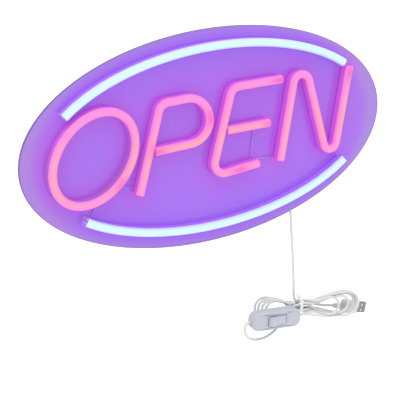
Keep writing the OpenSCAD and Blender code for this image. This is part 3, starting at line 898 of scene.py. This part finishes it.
def rib_radius(x):
    """A slow cone with five raised rings: core + height * smooth square wave."""
    phase = (x - 0.6) / 2.1 * 2 * math.pi
    ring = np.clip(0.5 + 1.6 * np.sin(phase - 0.1), 0, 1) * (x > 0.55) * (x < 10.8)
    return 2.25 + 0.04 * x + (0.62 + 0.03 * x) * ring


def overmould():
    sections = [section(0, 0.01, 0.01, 2), section(0, 1.9, 1.9, 2)]
    sections += [section(x, rib_radius(x), rib_radius(x), 2) for x in np.arange(0.1, RELIEF_L - 0.2, 0.15)]
    shoulder = fold(5)
    sections += [section(RELIEF_L, 2.6, 2.6, 2), section(RELIEF_L, 5.6, 3, 3)]
    for t in shoulder:
        sections.append(section(
            RELIEF_L + 2 * (1 - math.cos(t)), GRIP_W / 2 - 1.6 * (1 - math.sin(t)),
            GRIP_T / 2 - 1.1 * (1 - math.sin(t)), 3.6,
        ))
    for f in np.linspace(0.12, 0.96, 16):
        pinch = 0.35 * math.sin(math.pi * f) ** 2
        sections.append(section(RELIEF_L + GRIP_L * f, GRIP_W / 2 - pinch, GRIP_T / 2 - 0.5 * pinch, 4.2))
    end = RELIEF_L + GRIP_L
    sections += [section(end - 0.3, GRIP_W / 2 - 0.08, GRIP_T / 2 - 0.08, 4.2)]
    sections += [section(end, GRIP_W / 2 - 0.5, GRIP_T / 2 - 0.5, 4.2), section(end, 0.01, 0.01, 4.2)]
    points = np.stack(sections)
    rows, columns = points.shape[:2]
    return points.reshape(-1, 3), grid_faces(rows, columns, False, True).tolist()


grip_points, grip_faces = overmould()
grip = piece("plug_grip", placed(grip_points, PLUG_PLACE), grip_faces, "sign", "plug_white", "plug_overmould")
print("plug grip", len(grip.data.polygons), "faces")

# %% [markdown]
# ## The twist tie
#
# A paper-covered wire holds the hank: two turns round the waist, and its ends twisted
# together and bent up and to the left. The ribbon is flat with a wire ridge in its middle,
# so its section is a thin oval with a bump, carried round the bundle.

# %% Twist tie
def ribbon(line, facing, half_w=1.05, thin=0.25, ridge=0.45):
    """A flat strip along a line. Its section is (half_w sin t, (thin + ridge at the middle) cos t)."""
    t = np.linspace(0, 2 * math.pi, 16, endpoint=False)
    ahead = np.gradient(line, axis=0)
    ahead /= np.linalg.norm(ahead, axis=1)[:, None]
    out = facing - (facing * ahead).sum(axis=1)[:, None] * ahead
    out /= np.linalg.norm(out, axis=1)[:, None]
    aside = np.cross(ahead, out)
    across = half_w * np.sin(t)
    thick = (thin + ridge * np.exp(-((across / 0.45) ** 2))) * np.cos(t)
    sideways = across[None, :, None] * aside[:, None, :]
    outwards = thick[None, :, None] * out[:, None, :]
    points = line[:, None, :] + MM * (sideways + outwards)
    rows, columns = points.shape[:2]
    faces = grid_faces(rows, columns, False, True).tolist()
    faces += [list(range(columns)), list(range((rows - 1) * columns, rows * columns))]
    return points.reshape(-1, 3), faces


def in_hank_frame(u, v, w):
    return TIE_AT + MM * (np.outer(u, hank_u) + np.outer(v, hank_v) + np.outer(w, hank_w))


wrap = np.linspace(0, 4.3 * math.pi, 150)
wrap_line = in_hank_frame(-1.4 + 0.55 * wrap / 2.2, 6.9 * np.cos(wrap), 6.5 * np.sin(wrap))
wrap_out = wrap_line - (TIE_AT + np.outer((wrap_line - TIE_AT) @ hank_u, hank_u))
s = np.linspace(0, 1, 40)
tail_u, tail_v, tail_w = -1 - 6.5 * s**1.2, 6.2 + 9 * s, 3.2 + 3.5 * s
TWIST = 5.5 * math.pi
tails = []
for side in (0, math.pi):
    c, d = np.cos(TWIST * s + side), np.sin(TWIST * s + side)
    apart = 0.75 + 0.9 * s**6
    line = in_hank_frame(tail_u + apart * c, tail_v + 0.4 * c, tail_w + apart * d)
    tails.append(ribbon(line, np.outer(c, hank_u) + np.outer(d, hank_w), half_w=0.75, thin=0.22, ridge=0.35))
tie = piece("twist_tie", *joined([ribbon(wrap_line, wrap_out)] + tails), "sign", "tie_white", "cord_tie")
print("tie", len(tie.data.polygons), "faces")

# %% [markdown]
# ## Finishes
#
# A finish is a small program of nodes. Writing each Math node by hand hides the idea, so a
# socket is wrapped in a class with the usual operators, and `1 - mask` simply works. One
# method adds any other node: its settings first, then its sockets.

# %% Tools for finishes
def linear(red, green, blue):
    """A colour given as 0 to 255 on a screen, as the linear numbers that light adds up in."""
    c = np.array((red, green, blue)) / 255
    c = np.where(c <= 0.04045, c / 12.92, ((c + 0.055) / 1.055) ** 2.4)
    return (*c.tolist(), 1)


BLACK = (0, 0, 0, 1)
WHITE = (1, 1, 1, 1)


class Number:
    """A number that changes over the surface, held as the socket that gives it."""

    def __init__(self, finish, socket):
        self.finish = finish
        self.socket = socket

    def math(self, operation, a, b):
        node = self.finish.node("ShaderNodeMath", {"operation": operation}, {0: a, 1: b})
        return Number(self.finish, node.outputs[0])

    def __add__(self, other):
        return self.math("ADD", self, other)

    def __sub__(self, other):
        return self.math("SUBTRACT", self, other)

    def __rsub__(self, other):
        return self.math("SUBTRACT", other, self)

    def __mul__(self, other):
        return self.math("MULTIPLY", self, other)

    def __pow__(self, other):
        return self.math("POWER", self, other)

    __radd__ = __add__
    __rmul__ = __mul__


class Finish:
    """A material with one Principled shader, whose constants are set on its own sockets."""

    def __init__(self, name, **constants):
        self.material = bpy.data.materials.new(name)
        self.material.use_nodes = True
        self.tree = self.material.node_tree
        self.tree.nodes.clear()
        output = self.node("ShaderNodeOutputMaterial")
        self.shader = self.node("ShaderNodeBsdfPrincipled")
        self.tree.links.new(self.shader.outputs[0], output.inputs[0])
        self.set(**constants)

    def node(self, kind, settings=None, sockets=None):
        made = self.tree.nodes.new(kind)
        for name, value in (settings or {}).items():
            if name == "stops":
                self.set_stops(made.color_ramp, value)
            else:
                setattr(made, name, value)
        for name, value in (sockets or {}).items():
            self.feed(made.inputs[name], value)
        return made

    def set_stops(self, ramp, stops):
        while len(ramp.elements) < len(stops):
            ramp.elements.new(0.5)
        for element, (position, colour) in zip(ramp.elements, stops):
            element.position = position
            element.color = colour

    def feed(self, socket, value):
        if isinstance(value, Number):
            self.tree.links.new(value.socket, socket)
        elif isinstance(value, bpy.types.NodeSocket):
            self.tree.links.new(value, socket)
        else:
            socket.default_value = value

    def set(self, **values):
        """Base_Color="..." and so on: an underscore stands for a space in the socket's name."""
        for name, value in values.items():
            self.feed(self.shader.inputs[name.replace("_", " ")], value)

    def stored(self, name):
        """A number that the mesh carries."""
        return Number(self, self.node("ShaderNodeAttribute", {"attribute_name": name}).outputs["Fac"])

    def noise(self, scale, detail=2, stretch=(1, 1, 1)):
        """Soft random numbers round 0.5, in patches about 1 / scale metres wide."""
        place = self.node("ShaderNodeTexCoord").outputs["Object"]
        if stretch != (1, 1, 1):
            place = self.node("ShaderNodeMapping", None, {"Vector": place, "Scale": stretch}).outputs[0]
        texture = self.node("ShaderNodeTexNoise", None, {"Vector": place, "Scale": scale, "Detail": detail})
        return Number(self, texture.outputs["Fac"])

    def ramp(self, number, *stops):
        """The colour for a number, from (position, colour) stops."""
        return self.node("ShaderNodeValToRGB", {"stops": stops}, {"Fac": number}).outputs["Color"]

    def mix(self, factor, first, second):
        """first where factor is 0, second where it is 1."""
        made = self.node("ShaderNodeMix", {"data_type": "RGBA"}, {0: factor, 6: first, 7: second})
        return made.outputs[2]

    def light_up(self, colour, share, strength):
        """Light from inside: only a share of the lamps' light comes back, the rest is emission."""
        self.set(Base_Color=self.mix(share, BLACK, colour), Emission_Color=colour, Emission_Strength=strength)

    def bump(self, height, distance, strength=1):
        sockets = {"Height": height, "Distance": distance, "Strength": strength}
        return self.node("ShaderNodeBump", None, sockets).outputs["Normal"]


def paint(finish, *objects):
    """Gives the finish to new pieces and to CAD nodes, by slot."""
    for target in objects:
        data = target.data
        if not data.materials:
            data.materials.append(finish.material)
        for slot in target.material_slots:
            slot.material = finish.material


# %% [markdown]
# ### Acrylic
#
# The plate is clear acrylic full of violet light. Its colour comes from the stored glow:
# more magenta beside the letters, bluer beside the arcs, greyer at the far ends, and a
# darker line at the rim, where the light runs out through the edge.

# %% Acrylic
acrylic = Finish("acrylic", Roughness=0.12, IOR=1.49, Specular_IOR_Level=0.3, Alpha=0.95)
drift = (acrylic.noise(9) - 0.5) * 0.5
base_violet = acrylic.ramp(
    acrylic.stored("rim") + acrylic.stored("ends") + drift,
    (0, linear(164, 110, 238)), (0.45, linear(164, 114, 232)), (1, linear(166, 134, 218)),
)
near_letters = acrylic.mix(acrylic.stored("pink_glow") * 0.7, base_violet, linear(202, 84, 226))
near_arcs = acrylic.mix(acrylic.stored("cold_glow") * 0.5, near_letters, linear(172, 104, 255))
edge_line = acrylic.ramp(acrylic.stored("rim"), (0.93, BLACK), (1, WHITE))
acrylic.light_up(acrylic.mix(edge_line, near_arcs, linear(104, 80, 154)), 0.46, 0.4)
paint(acrylic, plate)
print("acrylic has", len(acrylic.tree.nodes), "nodes")

# %% [markdown]
# ### Lit silicone
#
# Milky silicone spreads the LEDs' light. Seen from the front it is almost even, with a
# warmer line over the LEDs and paler shoulders. The sides let little through: the plate's
# violet light is painted on them, with painted shade as a dark line at the foot and a darker
# line where the dome begins. Both finishes use the same recipe with their own colours.

# %% Silicone tubes
LED_PITCH = 16 * MM


def lit_silicone(name, wall_stops, edge, cool_core, warm_core, hot, hot_share, strength):
    """Colour by height up the wall, then by how near the crown's middle the point is."""
    finish = Finish(name, Roughness=0.45, IOR=1.41, Specular_IOR_Level=0.25)
    mottle = (finish.noise(240, 3) - 0.5) * 0.08
    led_rows = finish.stored("along") * (2 * math.pi / LED_PITCH)
    mottle = mottle + led_rows.math("SINE", led_rows, 0) * 0.03
    # The wall stops are painted light: the plate's violet glow on the sides, and painted shade as a dark line
    # at the foot, where the side meets the plate.
    wall = finish.ramp(finish.stored("height") + mottle * 0.5, *wall_stops)
    wall = finish.mix(finish.stored("dull") * 0.6, wall, linear(152, 106, 182))
    core = finish.mix(finish.stored("warm") + mottle, cool_core, warm_core)
    core = finish.mix(finish.stored("hot") * hot_share, core, hot)
    mid_crown = finish.ramp(finish.stored("middle") + mottle, (0.2, BLACK), (0.7, WHITE))
    crown_colour = finish.mix(mid_crown, edge, core)
    on_crown = finish.ramp(finish.stored("height") + mottle * 0.3, (0.7, BLACK), (0.8, WHITE))
    finish.light_up(finish.mix(on_crown, wall, crown_colour), 0.5, strength)
    finish.set(Normal=finish.bump(finish.noise(900, 2), 0.00006))
    return finish


# In each list of wall stops, the darkest first stop is painted shade at the foot; the violet stops above it
# are the plate's light painted on the sides.
pink_silicone = lit_silicone(
    "pink silicone",
    [(0, linear(168, 52, 188)), (0.07, linear(186, 66, 206)), (0.22, linear(212, 92, 236)),
     (0.45, linear(214, 100, 230)), (0.6, linear(198, 92, 198)), (0.68, linear(224, 118, 212))],
    edge=linear(250, 134, 216), cool_core=linear(252, 140, 212), warm_core=linear(254, 160, 170),
    hot=linear(255, 84, 180), hot_share=0.75, strength=0.44,
)
white_silicone = lit_silicone(
    "white silicone",
    [(0, linear(138, 88, 226)), (0.1, linear(156, 96, 240)), (0.4, linear(184, 118, 255)),
     (0.55, linear(158, 104, 238)), (0.66, linear(148, 130, 222)), (0.7, linear(190, 190, 250))],
    edge=linear(202, 214, 255), cool_core=linear(204, 246, 252), warm_core=linear(210, 250, 244),
    hot=WHITE, hot_share=0.3, strength=0.45,
)
paint(pink_silicone, *[tube for name, tube in tubes.items() if "letter" in name])
paint(white_silicone, *[tube for name, tube in tubes.items() if "arc" in name])
print("each silicone has", len(pink_silicone.tree.nodes), "nodes")

# %% Caps, jumpers and the clip
def clear_plastic(name, colour, glint_colour, strength):
    """Clear plastic in the tubes' glow, painted: its colour is given off as emission, with painted glints as
    thin lines of a second colour, and a gloss that catches the lamps.
    """
    finish = Finish(name, Roughness=0.08, Coat_Weight=1, Coat_Roughness=0.03)
    # Painted glints: thin bright lines of the lighter second colour.
    glint_mask = finish.ramp(finish.noise(420, 3, (1, 1, 3)), (0.5, BLACK), (0.62, WHITE))
    finish.light_up(finish.mix(glint_mask, colour, glint_colour), 0.5, strength)
    return finish


# The violet and pink of the caps, jumpers and clip are the tubes' and the plate's light, painted on and given
# off as emission.
clear_cap = clear_plastic("clear cap", linear(150, 100, 226), linear(226, 206, 255), 0.42)
pink_cap = clear_plastic("pink cap", linear(236, 88, 196), linear(255, 128, 208), 0.5)
jumper_plastic = clear_plastic("jumper insulation", linear(150, 98, 210), linear(176, 122, 226), 0.42)
clip_plastic = clear_plastic("clip plastic", linear(180, 172, 222), linear(214, 208, 240), 0.3)
paint(clear_cap, arc_caps)
paint(pink_cap, letter_caps)
paint(jumper_plastic, rear_jumper, *[bpy.data.objects[name + "_wire"] for name in JUMPERS])
paint(clip_plastic, nodes["lead_clip"])

circuit = Finish("flexible circuit", Roughness=0.5)
tracks = circuit.noise(420, 1)
circuit.set(Base_Color=circuit.ramp(tracks, (0.5, linear(236, 233, 222)), (0.56, linear(206, 170, 110))))
circuit.set(Normal=circuit.bump(tracks, 0.0001))
paint(circuit, *[nodes[name] for name in nodes if name.endswith("_strip")])


def led(name, body, phosphor):
    finish = Finish(name, Roughness=0.3, Emission_Strength=0.8)
    colour = finish.mix(finish.noise(700, 1), body, phosphor)
    finish.set(Base_Color=colour, Emission_Color=colour)
    return finish


paint(led("white LED", linear(240, 250, 255), linear(225, 250, 235)), nodes["white_led_chips"])
paint(led("pink LED", linear(255, 190, 200), linear(255, 150, 170)), nodes["pink_led_chips"])


# %% [markdown]
# ### Plastics and metals of the lead
#
# Soft PVC scatters light and has a fine matt grain. The switch is harder and glossier, in a
# cooler white. Metals get brushing along their length and a little tarnish.

# %% Plastics
def moulded(name, colour, darker, roughness, grain, depth, **constants):
    """Plastic with slow changes of shade, a fine moulded grain and uneven gloss."""
    finish = Finish(name, **constants)
    shade = finish.noise(60, 3)
    finish.set(Base_Color=finish.mix(finish.ramp(shade, (0.35, BLACK), (0.8, WHITE)), colour, darker))
    finish.set(Roughness=finish.noise(160) * 0.12 + roughness)
    finish.set(Normal=finish.bump(finish.noise(grain, 3), depth))
    return finish


pvc = moulded("soft PVC", linear(196, 194, 194), linear(182, 180, 180), 0.42, 1600, 0.00004)
paint(pvc, lead, grip)
hard_white = moulded("cool white moulding", linear(166, 169, 178), linear(158, 161, 170), 0.3, 2600, 0.00002)
paint(hard_white, cover, base)
rocker_white = moulded("rocker moulding", linear(168, 171, 181), linear(160, 163, 173), 0.22, 2600, 0.00001)
paint(rocker_white, rocker)
paper = moulded("tie paper", linear(216, 215, 214), linear(196, 195, 194), 0.55, 900, 0.00006)
paint(paper, tie)
nylon = moulded("nylon", linear(240, 238, 220), linear(228, 224, 202), 0.35, 1200, 0.00003)
paint(nylon, nodes["rocker_plunger"])
insulator = moulded("plug insulator", linear(240, 240, 238), linear(226, 226, 222), 0.3, 1600, 0.00002)
paint(insulator, nodes["plug_tongue"])
resistor = moulded("resistor", linear(30, 30, 33), linear(48, 47, 50), 0.3, 2600, 0.00001)
paint(resistor, nodes["strip_resistors"])
red_core = moulded("red core", linear(196, 52, 40), linear(170, 40, 32), 0.35, 1600, 0.00002)
paint(red_core, nodes["feed_wires"], nodes["through_wire"])
black_core = moulded("black core", linear(36, 36, 40), linear(24, 24, 27), 0.35, 1600, 0.00002)
paint(black_core, nodes["terminal_wires"])
print("painted the plastics")


# %% Metals
def metal(name, colour, tarnish, roughness, stretch):
    """Metal brushed along one direction, with darker tarnish in slow patches."""
    finish = Finish(name, Metallic=1)
    brushed = finish.noise(500, 3, stretch)
    finish.set(Base_Color=finish.mix(finish.noise(220, 3) * 0.8, colour, tarnish))
    finish.set(Roughness=brushed * 0.25 + roughness)
    finish.set(Normal=finish.bump(brushed, 0.00002))
    return finish


plug_steel = metal("plug steel", linear(150, 148, 140), linear(96, 94, 84), 0.22, (1, 8, 8))
paint(plug_steel, nodes["plug_shell"])
zinc = metal("zinc screw", linear(200, 200, 204), linear(150, 150, 156), 0.25, (6, 1, 6))
paint(zinc, nodes["case_screws"])
spring_wire = metal("spring wire", linear(190, 190, 196), linear(140, 140, 146), 0.25, (1, 1, 8))
paint(spring_wire, nodes["rocker_spring"])
brass = metal("brass", linear(222, 184, 106), linear(176, 140, 76), 0.25, (1, 8, 8))
paint(brass, nodes["contact_seesaw"], nodes["centre_terminal"], nodes["end_terminal"], nodes["plug_contacts"])
print("painted the metals")

# %% [markdown]
# ## Floor and light
#
# The sign hangs over a plain pale floor. An even white sky, a broad ceiling light and two soft
# lamps give the light of a small studio. There is almost no shadow, so the glow of the
# tubes stays clear, and upper sides are a little brighter than fronts.

# %% Floor
FLOOR_Z = -0.34
floor_mesh = bpy.data.meshes.new("floor")
FLOOR_HALF = 30
corners = [(x * FLOOR_HALF, y * FLOOR_HALF, FLOOR_Z) for x, y in ((-1, -1), (1, -1), (1, 1), (-1, 1))]
floor_mesh.from_pydata(corners, [], [(0, 1, 2, 3)])
floor = bpy.data.objects.new("floor", floor_mesh)
bpy.context.scene.collection.objects.link(floor)
floor_paint = Finish("floor paint", Roughness=0.9, Specular_IOR_Level=0)
floor_paint.set(Base_Color=floor_paint.mix(floor_paint.noise(2), linear(252, 252, 252), WHITE))
paint(floor_paint, floor)
print("floor at", FLOOR_Z, "m")

# %% Lamps and sky
def softbox(name, at, size, power):
    """A square lamp that faces the middle of the sign."""
    lamp = bpy.data.lights.new(name, "AREA")
    lamp.size = size
    lamp.energy = power
    lamp_object = bpy.data.objects.new(name, lamp)
    lamp_object.location = at
    lamp_object.rotation_euler = (Vector((0, 0, -0.06)) - Vector(at)).to_track_quat("-Z", "Y").to_euler()
    bpy.context.scene.collection.objects.link(lamp_object)


softbox("left lamp", (-1.2, -1.2, 1.4), 1.2, 5)
softbox("right lamp", (1.4, -1.2, 1.2), 1.4, 4)
ceiling = bpy.data.lights.new("ceiling", "SUN")
ceiling.energy = 1.5
ceiling.angle = math.radians(50)
ceiling_object = bpy.data.objects.new("ceiling", ceiling)
ceiling_object.rotation_euler = (math.radians(14), math.radians(-8), 0)
bpy.context.scene.collection.objects.link(ceiling_object)
world = bpy.data.worlds.new("sky")
world.use_nodes = True
world.node_tree.nodes["Background"].inputs["Color"].default_value = (1, 1, 1, 1)
world.node_tree.nodes["Background"].inputs["Strength"].default_value = 1
bpy.context.scene.world = world
print("lit")
